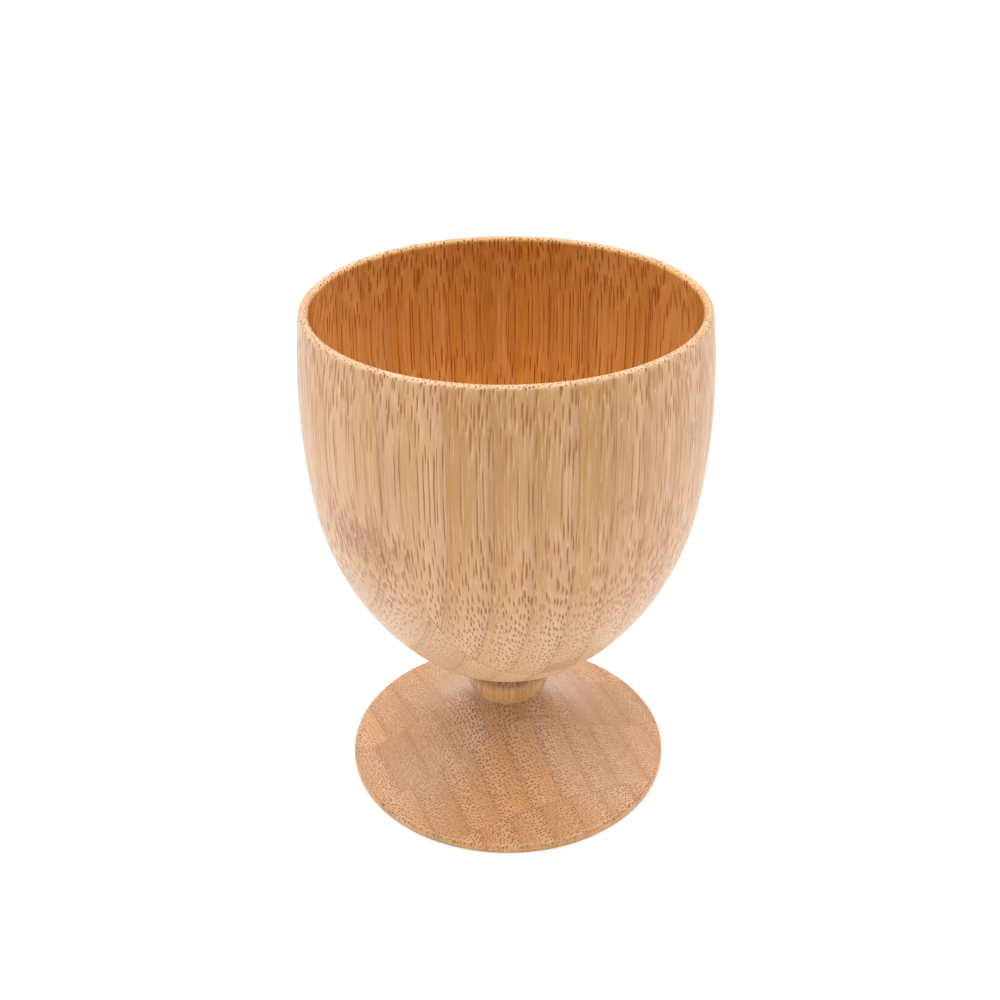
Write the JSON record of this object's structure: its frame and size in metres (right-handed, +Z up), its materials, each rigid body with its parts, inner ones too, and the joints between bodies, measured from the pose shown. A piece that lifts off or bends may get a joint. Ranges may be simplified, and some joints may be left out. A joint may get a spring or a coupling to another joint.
{
  "type": "stemmed cup",
  "caption": "Stemmed drinking cup with a deep round bowl, a bead on its short stem and a flared foot, turned from laminated bamboo strips.",
  "frame": {"origin": "centre of the foot's flat sole, on the surface the cup stands on", "axes": "+Z up along the turning axis, which is also the way the bamboo's fibres run; -Y towards the picture's camera, +X to its right"},
  "size_m": [0.0828, 0.0828, 0.11],
  "materials": {
    "bamboo": "satin"
  },
  "bodies": {
    "root": {"front_left_4": "bamboo", "front_left_3": "bamboo", "front_left_2": "bamboo", "front_left_1": "bamboo", "front_centre": "bamboo", "front_right_1": "bamboo", "front_right_2": "bamboo", "front_right_3": "bamboo", "front_right_4": "bamboo", "mid_front_left_5": "bamboo", "mid_front_left_4": "bamboo", "mid_front_left_3": "bamboo", "mid_front_left_2": "bamboo", "mid_front_left_1": "bamboo", "mid_front_centre": "bamboo", "mid_front_right_1": "bamboo", "mid_front_right_2": "bamboo", "mid_front_right_3": "bamboo", "mid_front_right_4": "bamboo", "mid_front_right_5": "bamboo", "mid_front_right_6": "bamboo", "middle_left_6": "bamboo", "middle_left_5": "bamboo", "middle_left_4": "bamboo", "middle_left_3": "bamboo", "middle_left_2": "bamboo", "middle_left_1": "bamboo", "middle_centre": "bamboo", "middle_right_1": "bamboo", "middle_right_2": "bamboo", "middle_right_3": "bamboo", "middle_right_4": "bamboo", "middle_right_5": "bamboo", "mid_back_left_5": "bamboo", "mid_back_left_4": "bamboo", "mid_back_left_3": "bamboo", "mid_back_left_2": "bamboo", "mid_back_left_1": "bamboo", "mid_back_centre": "bamboo", "mid_back_right_1": "bamboo", "mid_back_right_2": "bamboo", "mid_back_right_3": "bamboo", "mid_back_right_4": "bamboo", "mid_back_right_5": "bamboo", "mid_back_right_6": "bamboo", "back_left_4": "bamboo", "back_left_3": "bamboo", "back_left_2": "bamboo", "back_left_1": "bamboo", "back_centre": "bamboo", "back_right_1": "bamboo", "back_right_2": "bamboo", "back_right_3": "bamboo", "back_right_4": "bamboo"}
  },
  "joints": []
}
